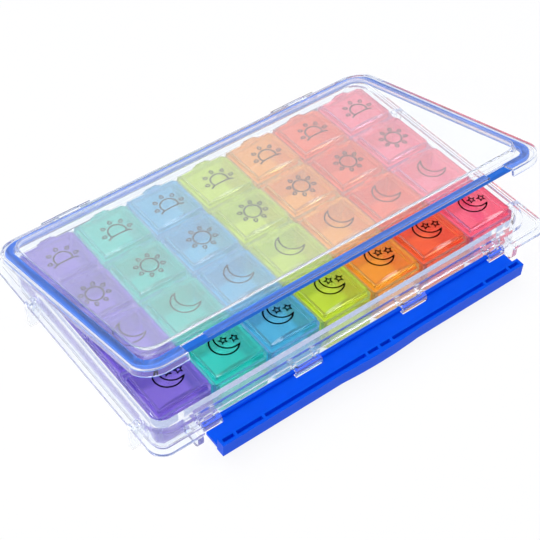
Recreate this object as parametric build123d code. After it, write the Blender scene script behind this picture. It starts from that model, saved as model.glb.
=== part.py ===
from build123d import *
import math
import os

# Weekly pill organizer. Millimetres, +Z up, X along the days, front at -Y.
# The origin is the centre of the face that the case stands on.

# Layout of the compartments
day_count = 7
row_count = 4
day_pitch = 30.0
row_pitch = 30.0

# Day trays
tray_gap = 0.5
tray_height = 18.2
tray_corner_cut = 2.2
tray_wall = 1.6
tray_floor = 1.4
tray_frame = 1.6
tray_bottom_bevel = 1.2
strip_width = 5.4
strip_core = 1.6
strip_drop = 0.6

# Compartment lids, hinged on a short knuckle at the rear
lid_rest_gap = 0.2
lid_height = 2.2
lid_skin = 1.0
lid_wall = 1.2
lid_front_inset = 2.8
lid_left_inset = 2.45
lid_right_inset = 0.25
lid_seat = 0.5
lid_corner_cut = 1.3
lid_left_bevel = 0.8
ridge_bevel = 1.0
ridge_width = 4.2
ridge_groove = 0.7
ridge_groove_depth = 0.5
scoop_depth = 1.7
scoop_radius = 100.0
scoop_slope = 35.0

# Hinge of a compartment lid
knuckle_width = 6.4
knuckle_radius = 1.1
knuckle_setback = 1.2
knuckle_height = 1.7
ear_width = 1.4
ear_wall = 0.35
ear_grip = 0.35
ear_play = 0.2
stub_radius = 0.65
running_clearance = 0.05

# Case tub
tub_floor = 1.8
tub_wall = 2.0
tray_side_play = 0.8
tray_end_play = 1.2
cavity_corner = 6.5
tub_bottom_bevel = 1.6
rim_side = 3.7
rim_front = 5.8
rim_back = 4.0
rim_skin = 1.5
rim_height = 19.2
flange_bottom = 14.8
flange_thickness = 2.0
flange_side = 8.9
flange_front = 13.8
flange_back = 7.2
flange_corner = 8.0
bead_inset = 2.7
bead_width = 1.0
bead_height = 1.0

# Foot gussets on both sides of the tub
gusset_thickness = 2.5
gusset_foot = 4.2
gusset_web = 1.8
gusset_root = 7.4
gusset_window_foot = 5.0
gusset_places = (-52.0, 36.0)

# Front brackets beside the latch
bracket_inset = 16.8
bracket_thickness = 3.0
bracket_reach = 10.8
bracket_bottom = 6.3
bracket_round = 3.5

# Latch flap, moulded with its own hinge rod
rod_radius = 1.2
rod_height = 12.2
rod_front_gap = 1.5
flap_inset = 19.8
flap_thickness = 2.0
flap_offset = 0.9
flap_rest_tilt = 3.2
catch_play = 0.25
lip_width = 4.6
lip_above = 4.3
lip_below = 1.3
slot_centre_length = 5.7
slot_end_lengths = (13.7, 5.7)
slot_rib = 1.5
slot_width = 1.8
slot_depth = 2.8
slot_wall = 1.3
bulge_half_length = 22.0
bulge_out = 0.9

# Rod clips on the front wall
clip_wall = 1.2
clip_play = 0.06
clip_middle_place = 31.25
clip_middle_length = 14.5
clip_end_inset = 19.3
clip_end_length = 9.5
clip_arm = 2.2
clip_bar_back = 0.5
clip_mouth_angle = 75.0
notch_play = 0.5

# Case lid
lid_open_angle = 15.35
cover_flange_top = 22.9
cover_flange_thickness = 1.1
cover_side_play = 7.0
cover_front_play = 11.3
cover_back_play = 5.9
cover_corner = 12.0
skirt_wall = 1.5
skirt_depth = 2.8
panel_side = 1.0
panel_front = 2.2
panel_back = 0.4
panel_corner = 9.5
panel_rise = 2.9
panel_skin = 1.6
panel_wall = 1.3
panel_draft = 15.0
panel_edge_bevel = 0.6
catch_inset = 28.8
catch_set_back = 3.4
lug_inset = 17.3
notch_set_back = 6.9

# Sealing ring under the lid's flange
gasket_width = 4.2
gasket_height = 2.3
gasket_side = 0.8
gasket_front = 3.2
gasket_back = 0.0
gasket_corner = 6.5

# Rear hinge of the case
pivot_radius = 1.2
pivot_play = 0.06
pivot_wall = 1.6
pivot_height = 17.5
pivot_gap = 0.5
hinge_inset = 37.8
cover_knuckle = 12.0
tub_knuckle = 7.0
knuckle_gap = 0.3
arm_thickness = 2.4
pin_end_wall = 1.0
sink = 0.5

# Sizes that follow from the ones above
tray_width = day_pitch - tray_gap
tray_length = row_count * row_pitch
tray_top = tub_floor + tray_height
cavity_x = day_count * day_pitch / 2 + tray_side_play
cavity_y = tray_length / 2 + tray_end_play
wall_x = cavity_x + tub_wall
wall_y = cavity_y + tub_wall
rim_x = cavity_x + rim_side
rim_y0 = -cavity_y - rim_front
rim_y1 = cavity_y + rim_back
bracket_inner = wall_x - bracket_inset
flange_x = cavity_x + flange_side
flange_y0 = -cavity_y - flange_front
flange_y1 = cavity_y + flange_back
flange_top = flange_bottom + flange_thickness
lid_length = row_pitch - strip_width
lid_y0 = lid_front_inset - tray_length / 2
lid_x0 = lid_left_inset - tray_width / 2
lid_x1 = tray_width / 2 - lid_right_inset
lid_z0 = tray_top + lid_rest_gap
lid_z1 = lid_z0 + lid_height
strip_top = tray_top - strip_drop
axis_y0 = lid_y0 + lid_length + knuckle_setback
axis_z = strip_top + knuckle_height
knuckle_x = (lid_x0 + lid_x1) / 2
ear_half = stub_radius + running_clearance + ear_wall
rod_y = rim_y0 - rod_front_gap
flap_half_length = wall_x - flap_inset
clip_end = wall_x - clip_end_inset
clip_sets = (
    (clip_middle_place - clip_middle_length / 2, clip_middle_place + clip_middle_length / 2),
    (clip_end - clip_end_length, clip_end),
)
lip_inner = cover_flange_top + catch_play - rod_height
lip_outer = lip_inner + lip_width
plate_top = -flap_offset
plate_bottom = plate_top - flap_thickness
cover_x = cavity_x + cover_side_play
cover_y0 = -cavity_y - cover_front_play
cover_y1 = cavity_y + cover_back_play
cover_z0 = cover_flange_top - cover_flange_thickness
panel_x = cavity_x + panel_side
panel_y0 = -cavity_y - panel_front
panel_y1 = cavity_y + panel_back
panel_top = cover_flange_top + panel_rise
catch_half_length = wall_x - catch_inset
lug_inner = wall_x - lug_inset
hinge_centre = wall_x - hinge_inset
gasket_x = cavity_x + gasket_side
gasket_y0 = -cavity_y - gasket_front
gasket_y1 = cavity_y + gasket_back
hinge_radius = pivot_radius + pivot_play + pivot_wall
pivot_y = flange_y1 + pivot_gap + hinge_radius


def slab(x0, x1, y0, y1, z0, z1, corner=0.0, draft=0.0, corner_cut=0.0):
    """Flat plate between corners, with rounded or cut upright edges and an optional draft."""
    outline = Rectangle(x1 - x0, y1 - y0)
    if corner > 0:
        outline = RectangleRounded(x1 - x0, y1 - y0, corner)
    if corner_cut > 0:
        outline = chamfer(outline.vertices(), corner_cut)
    face = Pos((x0 + x1) / 2, (y0 + y1) / 2, z0) * outline
    return extrude(face, amount=z1 - z0, taper=draft)


def bar_x(x0, x1, y, z, radius):
    """Round bar along X."""
    return Pos((x0 + x1) / 2, y, z) * Cylinder(radius, x1 - x0, rotation=(0, 90, 0))


def prism_x(x0, x1, outline):
    """Prism along X from an outline drawn with y across and z up."""
    plane = Plane(origin=(x0, 0, 0), x_dir=(0, 1, 0), z_dir=(1, 0, 0))
    return extrude(plane * outline, amount=x1 - x0, dir=(1, 0, 0))


def profile_x(x0, x1, points):
    """Prism along X from a list of (y, z) corners."""
    return prism_x(x0, x1, Polygon(*points, align=None))


def profile_y(y0, y1, points):
    """Prism along Y from a list of (x, z) corners."""
    plane = Plane(origin=(0, y1, 0), x_dir=(1, 0, 0), z_dir=(0, -1, 0))
    return extrude(plane * Polygon(*points, align=None), amount=y1 - y0, dir=(0, -1, 0))


def turn_about_x(shape, y, z, angle):
    """Turn a shape about a line along X; a positive angle lowers the front."""
    return Pos(0, y, z) * Rot(angle, 0, 0) * Pos(0, -y, -z) * shape


def save(shape, name):
    """Write one sub-part to its own file."""
    export_step(shape, f"parts/{name}.step")


def mirrored(span):
    """A span of X on the right and the same span on the left."""
    low, high = span
    return ((low, high), (-high, -low))


def make_tray(centre_x):
    """One day's tray: four pockets under a framed top, cored strips and snap-in hinge ears."""
    half = tray_width / 2
    end = tray_length / 2
    tray = slab(-half, half, -end, end, tub_floor, tray_top, corner_cut=tray_corner_cut)
    tray = chamfer(tray.faces().sort_by(Axis.Z)[0].edges(), tray_bottom_bevel)
    frame_z = tray_top - tray_frame
    pocket_x = half - tray_wall
    for row in range(row_count):
        step = row * row_pitch
        y0 = -end + step + tray_wall
        y1 = -end + step + row_pitch - tray_wall - strip_core / 2
        if row > 0:
            y0 = -end + step + tray_wall + strip_core / 2
        if row == row_count - 1:
            y1 = end - tray_wall
        tray -= slab(-pocket_x, pocket_x, y0, y1, tub_floor + tray_floor, frame_z)
        mouth_y0 = lid_y0 + step + lid_seat
        mouth_y1 = lid_y0 + step + lid_length - lid_seat
        mouth_x0 = lid_x0 + lid_seat
        tray -= slab(mouth_x0, pocket_x, mouth_y0, mouth_y1, frame_z - sink, tray_top + 1)
        recess_y0 = lid_y0 + step + lid_length
        recess_y1 = min(lid_y0 + step + row_pitch, end + 1)
        tray -= slab(lid_x0, half + 1, recess_y0, recess_y1, strip_top, tray_top + 1)
    for gap in range(1, row_count):
        y = -end + gap * row_pitch
        core_z1 = strip_top - tray_frame
        tray -= slab(-pocket_x, pocket_x, y - strip_core / 2, y + strip_core / 2, tub_floor - 1, core_z1)
    socket = RegularPolygon(stub_radius + running_clearance, 6, major_radius=False)
    for row in range(row_count):
        y = axis_y0 + row * row_pitch
        for side in (-1, 1):
            near = knuckle_x + side * (knuckle_width / 2 + ear_play)
            far = near + side * ear_width
            x0, x1 = min(near, far), max(near, far)
            tray += slab(x0, x1, y - ear_half, y + ear_half, strip_top - sink, axis_z + ear_grip)
            tray -= prism_x(x0 - sink, x1 + sink, Pos(y, axis_z) * socket)
    return Pos(centre_x, 0, 0) * tray


def make_dose_lid():
    """Lid of the front compartment: a shallow cap with a side ridge, a thumb scoop and a knuckle."""
    lid_y1 = lid_y0 + lid_length
    cap = slab(lid_x0, lid_x1, lid_y0, lid_y1, lid_z0, lid_z1)
    upright = cap.edges().filter_by(Axis.Z).sort_by(Axis.X)[-2:]
    cap = chamfer(upright, lid_corner_cut)
    top = cap.faces().sort_by(Axis.Z)[-1]
    cap = chamfer(top.edges().sort_by(Axis.X)[0], lid_left_bevel)
    top = cap.faces().sort_by(Axis.Z)[-1]
    right = [edge for edge in top.edges() if edge.center().X > lid_x1 - lid_corner_cut]
    cap = chamfer(right, ridge_bevel)
    groove_x = lid_x1 - ridge_width
    panel_x1 = groove_x - ridge_groove
    cap -= slab(panel_x1, groove_x, lid_y0 - 1, lid_y1 + 1, lid_z1 - ridge_groove_depth, lid_z1 + 1)
    cap -= make_scoop() & slab(lid_x0, panel_x1, lid_y0 - 1, lid_y1, lid_z0 + lid_skin, lid_z1 + 1)
    cap -= slab(
        lid_x0 + lid_wall,
        lid_x1 - lid_wall,
        lid_y0 + lid_wall,
        lid_y1 - lid_wall,
        lid_z0 - 1,
        lid_z1 - lid_skin - ridge_groove_depth,
    )
    half = knuckle_width / 2
    arm = profile_x(
        knuckle_x - half,
        knuckle_x + half,
        [
            (lid_y1 - lid_wall, lid_z0),
            (axis_y0, axis_z - knuckle_radius),
            (axis_y0 + knuckle_radius, axis_z - knuckle_radius),
            (axis_y0 + knuckle_radius, axis_z + knuckle_radius),
            (lid_y1 - lid_wall, axis_z + knuckle_radius),
        ],
    )
    heel = arm.edges().filter_by(Axis.X).sort_by(Axis.Z)[:2].sort_by(Axis.Y)[-1]
    cap += fillet(heel, knuckle_radius)
    reach = half + ear_play + ear_width
    stub = Pos(axis_y0, axis_z) * RegularPolygon(stub_radius, 6)
    return cap + prism_x(knuckle_x - reach, knuckle_x + reach, stub)


def make_scoop():
    """Round bar laid on a slope, which cuts the bowed thumb scoop out of the front edge of a lid."""
    slope = math.radians(scoop_slope)
    x = (lid_x0 + lid_x1 - ridge_width - ridge_groove) / 2
    y = lid_y0 + scoop_depth - scoop_radius * math.sin(slope)
    z = lid_z1 + scoop_radius * math.cos(slope)
    bar = Cylinder(scoop_radius, 8 * scoop_depth)
    return Pos(x, y, z) * Rot(scoop_slope - 90, 0, 0) * bar


def octagon(half_width):
    """Eight-sided outline, given half its width across flats."""
    return RegularPolygon(half_width, 8, major_radius=False, rotation=180 / 8)


def make_clip(x0, x1):
    """Snap clip for the latch rod: two hooked arms joined by a bar in front of the rod."""
    bore = rod_radius + clip_play
    outer = bore + clip_wall
    clip = prism_x(x0, x1, Pos(rod_y, rod_height) * octagon(outer))
    clip += slab(x0, x1, rod_y, -wall_y + sink, rod_height + bore, flange_bottom)
    half_mouth = math.radians(clip_mouth_angle / 2)
    reach = 2 * outer
    mouth = [
        (rod_y, rod_height),
        (rod_y + reach * math.sin(half_mouth), rod_height - reach * math.cos(half_mouth)),
        (rod_y - reach * math.sin(half_mouth), rod_height - reach * math.cos(half_mouth)),
    ]
    clip -= profile_x(x0 - 1, x1 + 1, mouth)
    bar_y = rod_y - clip_bar_back
    clip -= slab(x0 + clip_arm, x1 - clip_arm, bar_y, -wall_y, rod_height - reach, flange_bottom + 1)
    return clip - prism_x(x0 - 1, x1 + 1, Pos(rod_y, rod_height) * octagon(bore))


def make_hinge_arm(x0, x1, points):
    """Eight-sided hinge knuckle with the arm that carries it."""
    knuckle = prism_x(x0, x1, Pos(pivot_y, pivot_height) * octagon(hinge_radius))
    return knuckle + profile_x(x0, x1, points)


def hinge_spans():
    """Spans of X of the lid's knuckles and of the tub's knuckles, both sides."""
    cover_spans = []
    tub_spans = []
    for side in (-1, 1):
        centre = side * hinge_centre
        half = cover_knuckle / 2
        cover_spans.append((centre - half, centre + half))
        tub_spans.append((centre - half - knuckle_gap - tub_knuckle, centre - half - knuckle_gap))
        tub_spans.append((centre + half + knuckle_gap, centre + half + knuckle_gap + tub_knuckle))
    return cover_spans, tub_spans


def make_tub():
    """Case tub: walls, sealing rim, flange with its bead, feet, brackets, rod clips and knuckles."""
    wall_corner = cavity_corner + tub_wall
    tub = slab(-wall_x, wall_x, -wall_y, wall_y, 0, flange_top, wall_corner)
    tub = chamfer(tub.faces().sort_by(Axis.Z)[0].edges(), tub_bottom_bevel)
    flange = slab(-flange_x, flange_x, flange_y0, flange_y1, flange_bottom, flange_top, flange_corner)
    bead_x = flange_x - bead_inset
    bead_y0 = flange_y0 + bead_inset
    bead_y1 = flange_y1 - bead_inset
    bead_z1 = flange_top + bead_height
    bead = slab(-bead_x, bead_x, bead_y0, bead_y1, flange_top, bead_z1, flange_corner - bead_inset)
    bead -= slab(
        bead_width - bead_x,
        bead_x - bead_width,
        bead_y0 + bead_width,
        bead_y1 - bead_width,
        flange_top - 1,
        bead_z1 + 1,
        flange_corner - bead_inset - bead_width,
    )
    flange += bead
    flange -= slab(-bracket_inner, bracket_inner, flange_y0 - 1, rim_y0, flange_bottom - 1, bead_z1 + 1)
    tub += flange
    tub += slab(-rim_x, rim_x, rim_y0, rim_y1, flange_bottom, rim_height, cavity_corner + rim_side)
    channel_x = bracket_inner - rim_skin
    channel_z1 = rim_height - rim_skin
    tub -= slab(-channel_x, channel_x, rim_y0 + rim_skin, -wall_y, flange_bottom - 1, channel_z1)
    tub -= slab(-cavity_x, cavity_x, -cavity_y, cavity_y, tub_floor, rim_height + 1, cavity_corner)
    foot_x = flange_x - gusset_foot
    for place in gusset_places:
        for side in (-1, 1):
            outline = [
                (side * (wall_x - sink), flange_bottom + sink),
                (side * flange_x, flange_bottom + sink),
                (side * flange_x, 0),
                (side * foot_x, 0),
                (side * (wall_x - sink), gusset_root),
            ]
            window = [
                (side * (flange_x - gusset_web), flange_bottom - gusset_web),
                (side * (wall_x + gusset_web), flange_bottom - gusset_web),
                (side * (flange_x - gusset_web), gusset_window_foot),
            ]
            y0 = place - gusset_thickness / 2
            y1 = place + gusset_thickness / 2
            tub += profile_y(y0, y1, outline) - profile_y(y0 - 1, y1 + 1, window)
    for x0, x1 in mirrored((bracket_inner, bracket_inner + bracket_thickness)):
        bracket_y0 = -wall_y - bracket_reach
        bracket = slab(x0, x1, bracket_y0, -wall_y + sink, bracket_bottom, flange_bottom + sink)
        lower = bracket.edges().filter_by(Axis.X).sort_by(Axis.Z)[:2].sort_by(Axis.Y)[0]
        tub += fillet(lower, bracket_round)
    for span in clip_sets:
        for x0, x1 in mirrored(span):
            tub += make_clip(x0, x1)
    tub_spans = hinge_spans()[1]
    root = flange_y1 - arm_thickness
    for x0, x1 in tub_spans:
        points = [
            (root, flange_bottom),
            (pivot_y, pivot_height - hinge_radius),
            (pivot_y, pivot_height),
            (root, flange_top),
        ]
        tub += make_hinge_arm(x0, x1, points)
        blind = hinge_bore_end(x0, x1)
        tub -= bar_x(blind[0], blind[1], pivot_y, pivot_height, pivot_radius)
    for x0, x1 in hinge_spans()[0]:
        room = hinge_radius + pivot_gap
        tub -= slab(x0 - knuckle_gap, x1 + knuckle_gap, pivot_y - room, pivot_y + room, 0, rim_height)
    return tub


def hinge_bore_end(x0, x1):
    """Bore of a tub knuckle: blind on the side away from the lid's knuckle."""
    centre = math.copysign(hinge_centre, x0 + x1)
    if (x0 + x1) / 2 > centre:
        return (x0 - 1, x1 - pin_end_wall)
    return (x0 + pin_end_wall, x1 + 1)


def make_hinge_pin(side):
    """Steel pin held in the tub's two knuckles, through the lid's knuckle."""
    half = cover_knuckle / 2 + knuckle_gap + tub_knuckle - pin_end_wall
    centre = side * hinge_centre
    return bar_x(centre - half, centre + half, pivot_y, pivot_height, pivot_radius)


def make_cover():
    """Case lid, drawn closed: flange, skirt, raised panel, catch strip, lugs and knuckles."""
    skirt_z0 = cover_z0 - skirt_depth
    cover = slab(-cover_x, cover_x, cover_y0, cover_y1, skirt_z0, cover_flange_top, cover_corner)
    inner_corner = cover_corner - skirt_wall
    cover -= slab(
        skirt_wall - cover_x,
        cover_x - skirt_wall,
        cover_y0 + skirt_wall,
        cover_y1 - skirt_wall,
        skirt_z0 - 1,
        cover_z0,
        inner_corner,
    )
    front = cover_y0 + catch_set_back
    deep = cover_y0 + notch_set_back
    below = skirt_z0 - 1
    cover -= slab(-lug_inner, lug_inner, cover_y0 - 1, front, below, cover_flange_top + 1)
    for x0, x1 in mirrored((catch_half_length, lug_inner)):
        cover -= slab(x0, x1, cover_y0 - 1, deep, below, cover_flange_top + 1)
    panel = slab(-panel_x, panel_x, panel_y0, panel_y1, cover_z0, panel_top, panel_corner, panel_draft)
    cover += chamfer(panel.faces().sort_by(Axis.Z)[-1].edges(), panel_edge_bevel)
    cover -= slab(
        panel_wall - panel_x,
        panel_x - panel_wall,
        panel_y0 + panel_wall,
        panel_y1 - panel_wall,
        cover_z0 - 1,
        panel_top - panel_skin,
        panel_corner - panel_wall,
        panel_draft,
    )
    for x0, x1 in hinge_spans()[0]:
        points = [
            (cover_y1 - skirt_wall, skirt_z0),
            (cover_y1 - skirt_wall, cover_z0),
            (cover_y1 + arm_thickness, cover_z0),
            (pivot_y + hinge_radius, pivot_height),
            (pivot_y - hinge_radius, pivot_height),
        ]
        cover += make_hinge_arm(x0, x1, points)
        cover -= bar_x(x0 - 1, x1 + 1, pivot_y, pivot_height, pivot_radius + pivot_play)
    return cover


def make_gasket():
    """Silicone ring, drawn with the lid closed, flat against the underside of its flange."""
    z1 = cover_z0
    z0 = z1 - gasket_height
    outer_corner = gasket_corner + gasket_width
    x, y0, y1 = gasket_x, gasket_y0, gasket_y1
    w = gasket_width
    ring = slab(-x - w, x + w, y0 - w, y1 + w, z0, z1, outer_corner)
    return ring - slab(-x, x, y0, y1, z0 - 1, z1 + 1, gasket_corner)


def make_flap():
    """Latch flap, drawn level: rod, notched plate, slotted lip and thumb bulge."""
    half = flap_half_length
    front = rod_y - lip_outer
    plate = slab(-half, half, front, rod_y, rod_height + plate_bottom, rod_height + plate_top)
    clear = rod_radius + clip_play + clip_wall + notch_play
    notch_z0 = rod_height - clear
    notch_z1 = rod_height + clear
    for span in clip_sets:
        for x0, x1 in mirrored(span):
            plate -= slab(x0 - notch_play, x1 + notch_play, rod_y - clear, rod_y + 1, notch_z0, notch_z1)
    lip_z0 = rod_height + plate_bottom - lip_below
    lip_z1 = rod_height + plate_top + lip_above
    lip = slab(-half, half, front, rod_y - lip_inner, lip_z0, lip_z1)
    bulge_radius = (bulge_half_length**2 + bulge_out**2) / (2 * bulge_out)
    bulge = Pos(0, front - bulge_out + bulge_radius, lip_z0) * Circle(bulge_radius)
    bulge = extrude(bulge, amount=lip_z1 - lip_z0)
    lip += bulge & slab(-half, half, front - 2 * bulge_out, rod_y - lip_inner, lip_z0, lip_z1)
    ends = sum(slot_end_lengths) + slot_rib * len(slot_end_lengths)
    start = slot_rib / 2
    long_slot = half - start - slot_centre_length - 2 * slot_rib - ends
    for length in (slot_centre_length, long_slot, *slot_end_lengths):
        slot_y1 = rod_y - lip_inner - slot_wall
        for x0, x1 in mirrored((start, start + length)):
            lip -= slab(x0, x1, slot_y1 - slot_width, slot_y1, lip_z1 - slot_depth, lip_z1 + 1)
        start += length + slot_rib
    return plate + lip + bar_x(-half, half, rod_y, rod_height, rod_radius)


def build_all():
    """Make every sub-part at rest and write it."""
    os.makedirs("parts", exist_ok=True)
    save(make_tub(), "base_tub")
    for side, word in ((-1, "left"), (1, "right")):
        save(make_hinge_pin(side), f"hinge_pin_{word}")
    save(turn_about_x(make_cover(), pivot_y, pivot_height, -lid_open_angle), "case_lid")
    save(turn_about_x(make_gasket(), pivot_y, pivot_height, -lid_open_angle), "lid_gasket")
    save(turn_about_x(make_flap(), rod_y, rod_height, flap_rest_tilt), "latch_flap")
    dose_lid = make_dose_lid()
    for day in range(day_count):
        x = (day - (day_count - 1) / 2) * day_pitch
        save(make_tray(x), f"day_tray_{day + 1}")
        for row in range(row_count):
            save(Pos(x, row * row_pitch, 0) * dose_lid, f"dose_lid_{day + 1}_{row + 1}")


build_all()
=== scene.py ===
import math

import bpy
import numpy as np
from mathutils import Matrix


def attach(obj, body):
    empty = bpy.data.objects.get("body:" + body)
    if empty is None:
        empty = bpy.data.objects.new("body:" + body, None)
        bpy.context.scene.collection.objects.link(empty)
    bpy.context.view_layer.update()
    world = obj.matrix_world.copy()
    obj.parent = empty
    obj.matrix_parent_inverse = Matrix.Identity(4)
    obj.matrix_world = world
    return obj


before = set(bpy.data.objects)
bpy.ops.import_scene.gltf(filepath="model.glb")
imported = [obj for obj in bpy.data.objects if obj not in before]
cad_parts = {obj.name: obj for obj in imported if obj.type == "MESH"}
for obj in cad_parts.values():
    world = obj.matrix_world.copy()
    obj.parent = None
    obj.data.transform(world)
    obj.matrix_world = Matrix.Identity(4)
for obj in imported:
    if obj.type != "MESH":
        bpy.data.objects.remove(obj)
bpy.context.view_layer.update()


# Studio
# A seamless sweep of matt white paper, on which the clear case throws a faint soft shadow.
# A wide softbox hangs overhead, a small one stands on the left, and a strip brightens the front.

MM = 0.001
PAPER_WHITE = "#FBFBFD"
PAPER_ROUGHNESS = 0.6
PAPER_GRAIN_MM = 2.0
PAPER_RELIEF_MM = 0.2
PAPER_BUMP = 0.02
FILL_WHITE = "#F4F7FF"
FILL_STRENGTH = 0.4
PURE_WHITE = "#FFFFFF"

# Lengths in metres. The glow is how near to pure white the eye sees the paper under the case.
SWEEP_HALF = 4.0
SWEEP_GLOW = 0.88
FADE_START = 0.2
FADE_END = 0.9


def linear(hex_colour):
    """An sRGB hex colour in linear light: a straight line near black, then a power of 2.4."""
    parts = np.array([int(hex_colour[i:i + 2], 16) for i in (1, 3, 5)]) / 255.0
    low = parts / 12.92
    high = ((parts + 0.055) / 1.055) ** 2.4
    return (*np.where(parts <= 0.04045, low, high).tolist(), 1.0)


def add_node(tree, kind, settings=None, inputs=None):
    """Add one node, set its settings, and give each input a value or a link."""
    node = tree.nodes.new(kind)
    for name, value in (settings or {}).items():
        setattr(node, name, value)
    for name, value in (inputs or {}).items():
        if isinstance(value, bpy.types.NodeSocket):
            tree.links.new(value, node.inputs[name])
        else:
            node.inputs[name].default_value = value
    return node


def new_material(name):
    """An empty node material, its node tree and its output node."""
    material = bpy.data.materials.new(name)
    material.use_nodes = True
    tree = material.node_tree
    tree.nodes.clear()
    output = add_node(tree, "ShaderNodeOutputMaterial")
    return material, tree, output


def object_points(tree, grain_mm):
    """Object coordinates divided by the grain, so that one unit of a pattern is grain_mm wide."""
    coords = add_node(tree, "ShaderNodeTexCoord")
    scale = 1.0 / (grain_mm * MM)
    return add_node(
        tree,
        "ShaderNodeMapping",
        None,
        {"Vector": coords.outputs["Object"], "Scale": (scale, scale, scale)},
    ).outputs["Vector"]


def mesh_object(name, points, faces, material):
    """A new object at the origin with these points in metres and these faces."""
    mesh = bpy.data.meshes.new(name)
    mesh.from_pydata(points.tolist(), [], faces.tolist())
    mesh.materials.append(material)
    mesh.update()
    piece = bpy.data.objects.new(name, mesh)
    bpy.context.scene.collection.objects.link(piece)
    return piece


def direct_rays(tree):
    """One for a ray that shows the studio straight, mirrored or through plastic, else zero."""
    rays = add_node(tree, "ShaderNodeLightPath")
    straight = add_node(
        tree,
        "ShaderNodeMath",
        {"operation": "MAXIMUM"},
        {0: rays.outputs["Is Camera Ray"], 1: rays.outputs["Is Transmission Ray"]},
    )
    return add_node(
        tree,
        "ShaderNodeMath",
        {"operation": "MAXIMUM"},
        {0: straight.outputs[0], 1: rays.outputs["Is Glossy Ray"]},
    ).outputs[0]


# Matt paper scatters light evenly. Its fibres are too fine to show, so the grain is drawn 2 mm coarse.
paper, tree, output = new_material("matt_paper_sweep")
grain = add_node(
    tree,
    "ShaderNodeTexNoise",
    None,
    {"Vector": object_points(tree, PAPER_GRAIN_MM), "Scale": 1.0, "Detail": 4.0},
)
bump = add_node(
    tree,
    "ShaderNodeBump",
    None,
    {"Height": grain.outputs["Fac"], "Strength": PAPER_BUMP, "Distance": PAPER_RELIEF_MM * MM},
)
matt = add_node(
    tree,
    "ShaderNodeBsdfDiffuse",
    None,
    {
        "Color": linear(PAPER_WHITE),
        "Roughness": PAPER_ROUGHNESS,
        "Normal": bump.outputs["Normal"],
    },
)

# To the eye the paper turns into pure white with its distance from the case, so no horizon shows.
glow = add_node(tree, "ShaderNodeEmission", None, {"Color": linear(PURE_WHITE), "Strength": 1.0})
coords = add_node(tree, "ShaderNodeTexCoord")
distance = add_node(
    tree, "ShaderNodeVectorMath", {"operation": "LENGTH"}, {0: coords.outputs["Object"]}
)
whiteness = add_node(
    tree,
    "ShaderNodeMapRange",
    {"interpolation_type": "SMOOTHSTEP"},
    {
        "Value": distance.outputs["Value"],
        "From Min": FADE_START,
        "From Max": FADE_END,
        "To Min": SWEEP_GLOW,
        "To Max": 1.0,
    },
)
share = add_node(
    tree,
    "ShaderNodeMath",
    {"operation": "MULTIPLY"},
    {0: direct_rays(tree), 1: whiteness.outputs["Result"]},
)
surface = add_node(
    tree, "ShaderNodeMixShader", None, {0: share.outputs[0], 1: matt.outputs[0], 2: glow.outputs[0]}
)
tree.links.new(surface.outputs[0], output.inputs["Surface"])

sweep_corners = np.array([(-1, -1, 0), (1, -1, 0), (1, 1, 0), (-1, 1, 0)]) * SWEEP_HALF
sweep = mesh_object("paper_sweep", sweep_corners, np.array([(0, 1, 2, 3)]), paper)

# The room behind looks pure white, and fills the shadows with a weaker and cooler light.
world = bpy.data.worlds.new("studio_white")
bpy.context.scene.world = world
world.use_nodes = True
tree = world.node_tree
tree.nodes.clear()
fill = add_node(
    tree, "ShaderNodeBackground", None, {"Color": linear(FILL_WHITE), "Strength": FILL_STRENGTH}
)
seen = add_node(tree, "ShaderNodeBackground", None, {"Color": linear(PURE_WHITE), "Strength": 1.0})
room = add_node(
    tree, "ShaderNodeMixShader", None, {0: direct_rays(tree), 1: fill.outputs[0], 2: seen.outputs[0]}
)
add_node(tree, "ShaderNodeOutputWorld", None, {"Surface": room.outputs[0]})


def add_softbox(name, place, target, width, depth, watts):
    """A white softbox in metres and watts: it faces down, is tilted up, then turned to the target."""
    lamp = bpy.data.lights.new(name, "AREA")
    lamp.shape = "RECTANGLE"
    lamp.size = width
    lamp.size_y = depth
    lamp.energy = watts
    holder = bpy.data.objects.new(name, lamp)
    bpy.context.scene.collection.objects.link(holder)
    aim = np.array(target) - np.array(place)
    pitch = math.atan2(math.hypot(aim[0], aim[1]), -aim[2])
    yaw = math.atan2(-aim[0], aim[1])
    holder.location = place
    holder.rotation_euler = (pitch, 0, yaw)


add_softbox("overhead_softbox", (-0.5, 0.35, 1.5), (0, 0, 0), 1.6, 1.2, 14.2)
add_softbox("edge_strip", (0.55, -0.58, 1.03), (0, 0, 0.02), 0.16, 0.9, 3.0)
add_softbox("left_softbox", (-1.4, -0.5, 0.9), (0, 0, 0.02), 0.5, 0.35, 6.0)


# Camera
# A short telephoto, 87 mm on a full frame, that looks down at the case from its front left.

EYE = (-0.2671, -0.3544, 0.4667)
AZIMUTH = -37.01
ELEVATION = 46.71
LENS = 87.2
FULL_FRAME = 36.0

camera_data = bpy.data.cameras.new("studio_camera")
camera_data.lens = LENS
camera_data.sensor_width = FULL_FRAME
camera_data.clip_start = 0.05
camera_data.clip_end = 20.0
camera = bpy.data.objects.new("studio_camera", camera_data)
bpy.context.scene.collection.objects.link(camera)
camera.location = EYE
camera.rotation_euler = (math.radians(90 - ELEVATION), 0, math.radians(AZIMUTH))
bpy.context.scene.camera = camera
bpy.context.scene.view_settings.view_transform = "Standard"


# Clear case
# A tub and its hinged lid, injection-moulded from clear polycarbonate in polished tools.
# The lid's raised panel has a slightly frosted skin, which veils the trays below it.

CASE_EDGE_MM = 0.35
CLEAR = "#F8FBFE"
# Painted shade: the pale blue in which light caught in a clear wall leaves it, drawing thin outlines.
PAINTED_EDGE_SHADE = "#C6D0EE"
FLOW_MM = 12.0
FLOW_RELIEF_MM = 0.1
FLOW_BUMP = 0.01
POLISH_SPREAD = 0.4
CAUGHT_AFTER = 2.5
TUB_ROUGHNESS = 0.01
TUB_IOR = 1.4
LID_ROUGHNESS = 0.005
LID_IOR = 1.5

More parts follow.
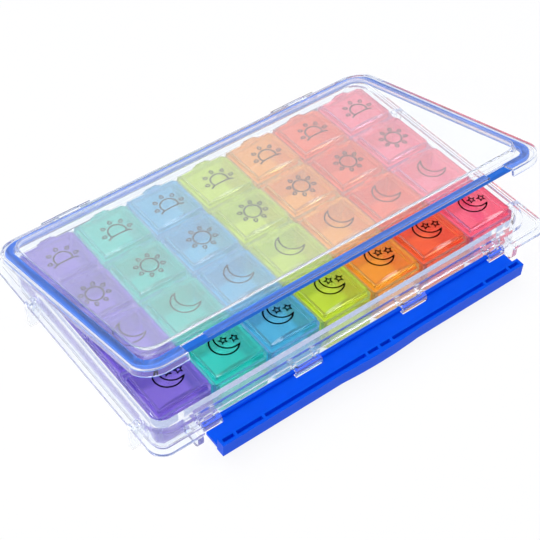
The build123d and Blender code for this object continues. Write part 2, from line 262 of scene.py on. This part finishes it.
# Haze is the share of the light that the plastic scatters. The panel adds its own to that of the rim.
TUB_HAZE = 0.03
RIM_HAZE = 0.005
PANEL_HAZE = 0.095

# The panel's tilt and middle, and its half width, half depth and a half height with room to spare.
LID_TILT = 15.35
PANEL_CENTRE_MM = (0.0, 3.7, 44.0)
PANEL_HALF_MM = (105.0, 61.5, 1000.0)

# Facets that meet within the first of these angles in degrees are merged, edges above the second are
# rounded, and those above the third stay creases. The largest faces alone set how a bend is shaded.
WELD_MM = 0.001
FLAT_WITHIN = 0.5
EDGE_ABOVE = 30.0
CREASE_ABOVE = 32.0
FLAT_WEIGHT = 100


def dress(piece, material, edge_mm, steps):
    """Give a solid its material and a rounded edge: flats are merged, then bevelled and kept flat."""
    piece.data.materials.clear()
    piece.data.materials.append(material)
    weld = piece.modifiers.new("weld", "WELD")
    weld.merge_threshold = WELD_MM * MM
    flat = piece.modifiers.new("flat", "DECIMATE")
    flat.decimate_type = "DISSOLVE"
    flat.angle_limit = math.radians(FLAT_WITHIN)
    bevel = piece.modifiers.new("edge_radius", "BEVEL")
    bevel.width = edge_mm * MM
    bevel.segments = steps
    bevel.limit_method = "ANGLE"
    bevel.angle_limit = math.radians(EDGE_ABOVE)
    bevel.use_clamp_overlap = True
    piece.data.shade_smooth()
    split = piece.modifiers.new("split", "EDGE_SPLIT")
    split.split_angle = math.radians(CREASE_ABOVE)
    weighted = piece.modifiers.new("weighted", "WEIGHTED_NORMAL")
    weighted.mode = "FACE_AREA"
    weighted.weight = FLAT_WEIGHT
    weighted.keep_sharp = True


def let_light_out(tree, plastic, edge_colour, shadow_colour):
    """The plastic, but shadow rays go straight through and rays caught in a wall go out, tinted."""
    rays = add_node(tree, "ShaderNodeLightPath")
    # A ray that went on being mirrored inside a wall would end in black.
    caught = add_node(
        tree,
        "ShaderNodeMath",
        {"operation": "GREATER_THAN"},
        {0: rays.outputs["Glossy Depth"], 1: CAUGHT_AFTER},
    )
    # For the clear case this tint is painted shade, its thin pale blue outlines; for the trays it is
    # their own colour.
    leaving = add_node(tree, "ShaderNodeBsdfTransparent", None, {"Color": edge_colour})
    seen = add_node(
        tree,
        "ShaderNodeMixShader",
        None,
        {0: caught.outputs[0], 1: plastic.outputs[0], 2: leaving.outputs[0]},
    )
    crossing = add_node(tree, "ShaderNodeBsdfTransparent", None, {"Color": shadow_colour})
    return add_node(
        tree,
        "ShaderNodeMixShader",
        None,
        {0: rays.outputs["Is Shadow Ray"], 1: seen.outputs[0], 2: crossing.outputs[0]},
    )


def clear_plastic(tree, roughness, ior, haze):
    """Polished polycarbonate: light passes bent, apart from the share that its haze scatters."""
    flow = add_node(
        tree,
        "ShaderNodeTexNoise",
        None,
        {"Vector": object_points(tree, FLOW_MM), "Scale": 1.0, "Detail": 3.0},
    )
    rough = add_node(
        tree,
        "ShaderNodeMapRange",
        None,
        {
            "Value": flow.outputs["Fac"],
            "To Min": roughness * (1.0 - POLISH_SPREAD),
            "To Max": roughness * (1.0 + POLISH_SPREAD),
        },
    )
    bump = add_node(
        tree,
        "ShaderNodeBump",
        None,
        {"Height": flow.outputs["Fac"], "Strength": FLOW_BUMP, "Distance": FLOW_RELIEF_MM * MM},
    )
    body = add_node(
        tree,
        "ShaderNodeBsdfPrincipled",
        None,
        {
            "Base Color": linear(CLEAR),
            "Roughness": rough.outputs["Result"],
            "IOR": ior,
            "Transmission Weight": 1.0,
            "Normal": bump.outputs["Normal"],
        },
    )
    veil = add_node(tree, "ShaderNodeBsdfDiffuse", None, {"Color": linear(PURE_WHITE)})
    hazy = add_node(
        tree, "ShaderNodeMixShader", None, {0: haze, 1: body.outputs[0], 2: veil.outputs[0]}
    )
    # Light caught in a wall leaves in a painted pale blue shade, while shadow rays pass in the clear
    # tint.
    return let_light_out(tree, hazy, linear(PAINTED_EDGE_SHADE), linear(CLEAR))


def inside_panel(tree):
    """One inside a box around the lid's panel, tilted with the lid, else zero."""
    coords = add_node(tree, "ShaderNodeTexCoord")
    placed = add_node(
        tree,
        "ShaderNodeMapping",
        {"vector_type": "TEXTURE"},
        {
            "Vector": coords.outputs["Object"],
            "Location": tuple(length * MM for length in PANEL_CENTRE_MM),
            "Rotation": (math.radians(-LID_TILT), 0, 0),
            "Scale": tuple(length * MM for length in PANEL_HALF_MM),
        },
    )
    axes = add_node(tree, "ShaderNodeSeparateXYZ", None, {0: placed.outputs["Vector"]})
    across = add_node(tree, "ShaderNodeMath", {"operation": "ABSOLUTE"}, {0: axes.outputs["X"]})
    along = add_node(tree, "ShaderNodeMath", {"operation": "ABSOLUTE"}, {0: axes.outputs["Y"]})
    reach = add_node(
        tree,
        "ShaderNodeMath",
        {"operation": "MAXIMUM"},
        {0: across.outputs[0], 1: along.outputs[0]},
    )
    return add_node(
        tree, "ShaderNodeMath", {"operation": "LESS_THAN"}, {0: reach.outputs[0], 1: 1.0}
    ).outputs[0]


# Solid polycarbonate has an index of 1.58. Walls as thin as these look right at 1.4 and 1.5, as clear
# faces whose thin pale blue outlines are painted shade, the tint given to light caught in a wall. The
# flow marks of the moulding are faint waves, 12 mm long.
tub_polycarbonate, tree, output = new_material("polished_polycarbonate")
surface = clear_plastic(tree, TUB_ROUGHNESS, TUB_IOR, TUB_HAZE)
tree.links.new(surface.outputs[0], output.inputs["Surface"])
base_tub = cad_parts["base_tub"]
dress(base_tub, tub_polycarbonate, CASE_EDGE_MM, steps=2)

lid_polycarbonate, tree, output = new_material("frosted_panel_polycarbonate")
haze = add_node(
    tree,
    "ShaderNodeMath",
    {"operation": "MULTIPLY_ADD"},
    {0: inside_panel(tree), 1: PANEL_HAZE, 2: RIM_HAZE},
)
surface = clear_plastic(tree, LID_ROUGHNESS, LID_IOR, haze.outputs[0])
tree.links.new(surface.outputs[0], output.inputs["Surface"])
case_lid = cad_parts["case_lid"]
dress(case_lid, lid_polycarbonate, CASE_EDGE_MM, steps=2)


# Lid seal
# A ring of blue silicone rubber, moulded in one piece and seated dry under the flange of the lid.
# It is satin and dense in colour, so it keeps its blue when seen through the clear rim.

SEAL_EDGE_MM = 0.5
SEAL_GRAIN_MM = 0.8
SEAL_RELIEF_MM = 0.1
SEAL_BUMP = 0.05
SEAL_ROUGHNESS = 0.38
SEAL_IOR = 1.41
SEAL_SHEEN = 0.25
SEAL_BLUE_DARK = "#1668D0"
SEAL_BLUE_LIGHT = "#186EDA"

# The blasted skin of the mould leaves a grain that is too fine to show, so it is drawn 0.8 mm coarse.
silicone, tree, output = new_material("moulded_silicone")
grain = add_node(
    tree,
    "ShaderNodeTexNoise",
    None,
    {"Vector": object_points(tree, SEAL_GRAIN_MM), "Scale": 1.0, "Detail": 5.0},
)
bump = add_node(
    tree,
    "ShaderNodeBump",
    None,
    {"Height": grain.outputs["Fac"], "Strength": SEAL_BUMP, "Distance": SEAL_RELIEF_MM * MM},
)
shade = add_node(tree, "ShaderNodeValToRGB", None, {"Fac": grain.outputs["Fac"]})
shade.color_ramp.elements[0].color = linear(SEAL_BLUE_DARK)
shade.color_ramp.elements[1].color = linear(SEAL_BLUE_LIGHT)
body = add_node(
    tree,
    "ShaderNodeBsdfPrincipled",
    None,
    {
        "Base Color": shade.outputs["Color"],
        "Roughness": SEAL_ROUGHNESS,
        "IOR": SEAL_IOR,
        "Specular IOR Level": SEAL_SHEEN,
        "Normal": bump.outputs["Normal"],
    },
)
tree.links.new(body.outputs[0], output.inputs["Surface"])
lid_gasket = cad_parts["lid_gasket"]
dress(lid_gasket, silicone, SEAL_EDGE_MM, steps=3)


# Latch flap
# One opaque moulding of royal blue polypropylene, whose own rod snaps into the clips of the tub.
# Its pigment is dense and its skin satin, so it shows an even blue with hardly any reflection.

FLAP_EDGE_MM = 0.3
FLAP_FLOW_MM = 6.0
FLAP_BLUE_DARK = "#0354E8"
FLAP_BLUE_LIGHT = "#035AF0"
FLAP_ROUGHNESS = (0.26, 0.36)
FLAP_IOR = 1.49
FLAP_SHEEN = 0.06

# Flow marks of the moulding, 6 mm long, vary its blue and its polish a little.
polypropylene, tree, output = new_material("moulded_polypropylene")
flow = add_node(
    tree,
    "ShaderNodeTexNoise",
    None,
    {"Vector": object_points(tree, FLAP_FLOW_MM), "Scale": 1.0, "Detail": 4.0},
)
shade = add_node(tree, "ShaderNodeValToRGB", None, {"Fac": flow.outputs["Fac"]})
shade.color_ramp.elements[0].color = linear(FLAP_BLUE_DARK)
shade.color_ramp.elements[1].color = linear(FLAP_BLUE_LIGHT)
rough = add_node(
    tree,
    "ShaderNodeMapRange",
    None,
    {"Value": flow.outputs["Fac"], "To Min": FLAP_ROUGHNESS[0], "To Max": FLAP_ROUGHNESS[1]},
)
body = add_node(
    tree,
    "ShaderNodeBsdfPrincipled",
    None,
    {
        "Base Color": shade.outputs["Color"],
        "Roughness": rough.outputs["Result"],
        "IOR": FLAP_IOR,
        "Specular IOR Level": FLAP_SHEEN,
    },
)
tree.links.new(body.outputs[0], output.inputs["Surface"])
latch_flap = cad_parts["latch_flap"]
dress(latch_flap, polypropylene, FLAP_EDGE_MM, steps=3)


# Hinge pins
# Two pins of drawn steel wire, pressed into the rear knuckles of the tub, about which the lid turns.
# Drawing leaves them bright, with a grain too fine to show, so it is drawn 0.3 mm coarse.

PIN_EDGE_MM = 0.2
PIN_GRAIN_MM = 0.3
PIN_GREY = "#C4C6CA"
PIN_ROUGHNESS = (0.22, 0.38)

steel, tree, output = new_material("drawn_steel")
grain = add_node(
    tree,
    "ShaderNodeTexNoise",
    None,
    {"Vector": object_points(tree, PIN_GRAIN_MM), "Scale": 1.0, "Detail": 3.0},
)
rough = add_node(
    tree,
    "ShaderNodeMapRange",
    None,
    {"Value": grain.outputs["Fac"], "To Min": PIN_ROUGHNESS[0], "To Max": PIN_ROUGHNESS[1]},
)
body = add_node(
    tree,
    "ShaderNodeBsdfPrincipled",
    None,
    {"Base Color": linear(PIN_GREY), "Metallic": 1.0, "Roughness": rough.outputs["Result"]},
)
tree.links.new(body.outputs[0], output.inputs["Surface"])
for side in ("left", "right"):
    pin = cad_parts["hinge_pin_" + side]
    dress(pin, steel, PIN_EDGE_MM, steps=2)


# Day trays and their lids
# Seven boxes with four small lids each, moulded from clear styrene plastic, with a tint for each day.
# A tray stands loose in the tub, and its lids snap into its ears.

DAY_TINTS = {
    "purple": "#6C4CCE",
    "teal": "#0AC4B0",
    "blue": "#2CA6D6",
    "lime": "#BEDA10",
    "orange": "#FA9008",
    "red": "#FC4412",
    "pink": "#FF4C6E",
}
DAYS = len(DAY_TINTS)
ROWS = 4
TRAY_EDGE_MM = 0.6
TRAY_FLOW_MM = 9.0
TRAY_RELIEF_MM = 0.1
TRAY_BUMP = 0.03
TRAY_ROUGHNESS = (0.05, 0.12)
TRAY_IOR = 1.5
TRAY_SHEEN = 0.3
TRAY_CLEARNESS = 0.93
WALLS_CROSSED = 2.6
SKIN_SHARE = 0.25
MILKINESS = 0.08


def tinted_plastic(name, seen_colour):
    """Tinted styrene: light crosses WALLS_CROSSED walls, so one wall has that root of the seen colour.

    Shadow rays and rays caught in a wall get the wall's colour to the power of SKIN_SHARE. A little of
    the seen colour is scattered back, slightly milky, and flow marks 9 mm long vary the polish.
    """
    material, tree, output = new_material(name)
    wall = tuple(channel ** (1 / WALLS_CROSSED) for channel in linear(seen_colour))
    skin = tuple(channel**SKIN_SHARE for channel in wall)
    flow = add_node(
        tree,
        "ShaderNodeTexNoise",
        None,
        {"Vector": object_points(tree, TRAY_FLOW_MM), "Scale": 1.0, "Detail": 3.0},
    )
    bump = add_node(
        tree,
        "ShaderNodeBump",
        None,
        {"Height": flow.outputs["Fac"], "Strength": TRAY_BUMP, "Distance": TRAY_RELIEF_MM * MM},
    )
    rough = add_node(
        tree,
        "ShaderNodeMapRange",
        None,
        {"Value": flow.outputs["Fac"], "To Min": TRAY_ROUGHNESS[0], "To Max": TRAY_ROUGHNESS[1]},
    )
    body = add_node(
        tree,
        "ShaderNodeBsdfPrincipled",
        None,
        {
            "Base Color": wall,
            "Roughness": rough.outputs["Result"],
            "IOR": TRAY_IOR,
            "Specular IOR Level": TRAY_SHEEN,
            "Transmission Weight": TRAY_CLEARNESS,
            "Normal": bump.outputs["Normal"],
        },
    )
    milk = add_node(tree, "ShaderNodeBsdfDiffuse", None, {"Color": linear(seen_colour)})
    milky = add_node(
        tree, "ShaderNodeMixShader", None, {0: MILKINESS, 1: body.outputs[0], 2: milk.outputs[0]}
    )
    surface = let_light_out(tree, milky, skin, skin)
    tree.links.new(surface.outputs[0], output.inputs["Surface"])
    return material


for day, (colour, tint) in enumerate(DAY_TINTS.items(), 1):
    styrene = tinted_plastic("tinted_styrene_" + colour, tint)
    names = [f"day_tray_{day}"] + [f"dose_lid_{day}_{row}" for row in range(1, ROWS + 1)]
    for name in names:
        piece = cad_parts[name]
        dress(piece, styrene, TRAY_EDGE_MM, steps=3)


# Printed marks
# One mark on each compartment lid, pad-printed in matt black ink, hundredths of a millimetre thick.
# From the back to the front they are a rising sun, a full sun, a moon, and a moon with two stars.

INK_GRAIN_MM = 0.4
INK_BLACK = "#000000"
INK_THIN = "#030304"
INK_ROUGHNESS = 0.7
INK_SHEEN = 0.02

# Lengths in millimetres and angles in degrees. LID_TOP is where a shut lid's top face lies.
LID_TOP = 22.4
MARK_RISE = 0.02
PITCH = 30.0

SUN_LINE = 0.84
SUN_POINTS = 36
FULL_SUN_RADIUS = 4.3
FULL_SUN_REACH = 6.5
FULL_SUN_RAYS = range(22, 382, 45)
RISING_SUN_RADIUS = 4.5
RISING_SUN_REACH = 7.1
RISING_SUN_RAYS = range(0, 181, 45)
RISING_SUN_ARC = (-27, 207)
HILL_HALF = 6.5
HILL_BELOW = 2.0
HILL_SINK = 1.3
HILL_POINTS = 24

RAY_LINE = 0.72
RAY_LENGTH = 2.1
RAY_WIDTH = 1.6
RAY_TAPER = 0.35
RAY_POINTS = 16

MOON_LINE = 0.68
FRONT_MOON_LINE = 0.8
MOON_RADIUS = 6.9
BITE_RADIUS = 6.6
BITE_SHIFT = 3.8
BITE_AXIS = 31
MOON_POINTS = 40
BITE_POINTS = 30

STAR_LINE = 0.68
STAR_RADIUS = 2.0
STAR_WAIST = 0.45
STAR_TURN = 85
STAR_TIPS = 5
STAR_PLACES = ((0.4, 1.4), (5.2, -0.3))

# The first keeps a division by zero out, and the second keeps a sharp bend to twice the line.
LEAST_STEP = 1e-9
LEAST_COSINE = 0.5

# The ink lies dense and flat, and its grain is too fine to show, so it is drawn 0.4 mm coarse.
ink, tree, output = new_material("pad_printed_ink")
grain = add_node(
    tree,
    "ShaderNodeTexNoise",
    None,
    {"Vector": object_points(tree, INK_GRAIN_MM), "Scale": 1.0, "Detail": 2.0},
)
shade = add_node(tree, "ShaderNodeValToRGB", None, {"Fac": grain.outputs["Fac"]})
shade.color_ramp.elements[0].color = linear(INK_BLACK)
shade.color_ramp.elements[1].color = linear(INK_THIN)
body = add_node(
    tree,
    "ShaderNodeBsdfPrincipled",
    None,
    {
        "Base Color": shade.outputs["Color"],
        "Roughness": INK_ROUGHNESS,
        "Specular IOR Level": INK_SHEEN,
    },
)
tree.links.new(body.outputs[0], output.inputs["Surface"])


def arc(x, y, radius, start, end, count):
    """Points on a circle at even angles: its middle plus the radius times cosine and sine."""
    angle = np.radians(np.linspace(start, end, count))
    return np.stack([x + radius * np.cos(angle), y + radius * np.sin(angle)], -1)


def ribbon(path, closed, line):
    """Two rows of points that bound a line of ink: each point of the path, moved to both sides.

    It moves along its normal by half the line, divided by the cosine of half the bend there, so that
    the line keeps its width, and at most twice as far. An open path starts with that widest move.
    """
    before_first, after_last = (path[-1], path[0]) if closed else (path[0], path[-1])
    behind = np.vstack([before_first, path[:-1]])
    ahead = np.vstack([path[1:], after_last])
    run = ahead - behind
    run /= np.linalg.norm(run, axis=1, keepdims=True)
    step = path - behind
    step /= np.maximum(np.linalg.norm(step, axis=1, keepdims=True), LEAST_STEP)
    cosine = np.abs(np.sum(run * step, axis=1, keepdims=True))
    normal = np.stack([-run[:, 1], run[:, 0]], -1)
    push = normal * (line / 2) / np.clip(cosine, LEAST_COSINE, 1.0)
    return np.vstack([path + push, path - push])


def ribbon_faces(count, closed):
    """Quads between the two rows of a ribbon, each from a point to the next, facing up."""
    here = np.arange(count if closed else count - 1)
    beyond = (here + 1) % count
    return np.stack([here + count, beyond + count, beyond, here], -1)


def sun_rays(x, y, reach, angles):
    """Strokes of small drops around a sun: ovals along its rays, narrowed outwards by a cosine."""
    turn = np.radians(np.linspace(0, 360, RAY_POINTS, endpoint=False))
    along = RAY_LENGTH / 2 * np.cos(turn)
    across = RAY_WIDTH / 2 * np.sin(turn) * (1 - RAY_TAPER * np.cos(turn))
    strokes = []
    for angle in np.radians(angles):
        drop_x = x + (reach + along) * np.cos(angle) - across * np.sin(angle)
        drop_y = y + (reach + along) * np.sin(angle) + across * np.cos(angle)
        strokes.append((np.stack([drop_x, drop_y], -1), True, RAY_LINE))
    return strokes


def rising_sun(x, y):
    """A part circle with rays on a hill, whose sides sink with the fourth power of the distance."""
    disc = arc(x, y, RISING_SUN_RADIUS, *RISING_SUN_ARC, SUN_POINTS)
    share = np.linspace(-1, 1, HILL_POINTS)
    hill = np.stack([x + HILL_HALF * share, y - HILL_BELOW - HILL_SINK * share**4], -1)
    outlines = [(disc, False, SUN_LINE), (hill, False, SUN_LINE)]
    return outlines + sun_rays(x, y, RISING_SUN_REACH, RISING_SUN_RAYS)


def full_sun(x, y):
    """A circle with rays all round."""
    disc = arc(x, y, FULL_SUN_RADIUS, 0, 360 - 360 / SUN_POINTS, SUN_POINTS)
    return [(disc, True, SUN_LINE)] + sun_rays(x, y, FULL_SUN_REACH, FULL_SUN_RAYS)


def moon(x, y, line=MOON_LINE):
    """A crescent: the long arc of one circle, and back along a second circle that bites into it.

    The circles meet on a line across the bite's axis. Its distance from the first middle is the shift
    squared plus the radius squared less the bite radius squared, over twice the shift.
    """
    meeting = (BITE_SHIFT**2 + MOON_RADIUS**2 - BITE_RADIUS**2) / (2 * BITE_SHIFT)
    half = math.degrees(math.acos(meeting / MOON_RADIUS))
    outer = arc(x, y, MOON_RADIUS, BITE_AXIS + half, BITE_AXIS + 360 - half, MOON_POINTS)
    bite_x = x + BITE_SHIFT * math.cos(math.radians(BITE_AXIS))
    bite_y = y + BITE_SHIFT * math.sin(math.radians(BITE_AXIS))
    half = math.degrees(math.acos((meeting - BITE_SHIFT) / BITE_RADIUS))
    inner = arc(bite_x, bite_y, BITE_RADIUS, BITE_AXIS + 360 - half, BITE_AXIS + half, BITE_POINTS)
    return [(np.vstack([outer, inner[1:-1]]), True, line)]


def moon_and_stars(x, y):
    """The crescent and two stars: points at even angles, by turns at a star's tips and its waist."""
    corner = np.arange(2 * STAR_TIPS)
    angle = np.radians(STAR_TURN + 180 / STAR_TIPS * corner)
    reach = np.where(corner % 2 == 0, STAR_RADIUS, STAR_RADIUS * STAR_WAIST)
    star = np.stack([reach * np.cos(angle), reach * np.sin(angle)], -1)
    stars = [((x + right, y + up) + star, True, STAR_LINE) for right, up in STAR_PLACES]
    return moon(x, y, FRONT_MOON_LINE) + stars


# For each row from the front, its mark and how far that stands right of and behind the lid's middle.
MARKS = {
    1: (moon_and_stars, 1.9, 1.7),
    2: (moon, 1.9, 1.7),
    3: (full_sun, 1.3, 0.4),
    4: (rising_sun, 1.3, -1.6),
}
for day in range(1, DAYS + 1):
    for row, (draw, right, behind) in MARKS.items():
        x = (day - (DAYS + 1) / 2) * PITCH + right
        y = (row - (ROWS + 1) / 2) * PITCH + behind
        points = np.empty((0, 2))
        faces = np.empty((0, 4), int)
        for path, closed, line in draw(x, y):
            faces = np.vstack([faces, ribbon_faces(len(path), closed) + len(points)])
            points = np.vstack([points, ribbon(path, closed, line)])
        height = np.full((len(points), 1), LID_TOP + MARK_RISE)
        mark = mesh_object(f"mark_{day}_{row}", np.hstack([points, height]) * MM, faces, ink)
        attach(mark, f"dose_lid_{day}_{row}")
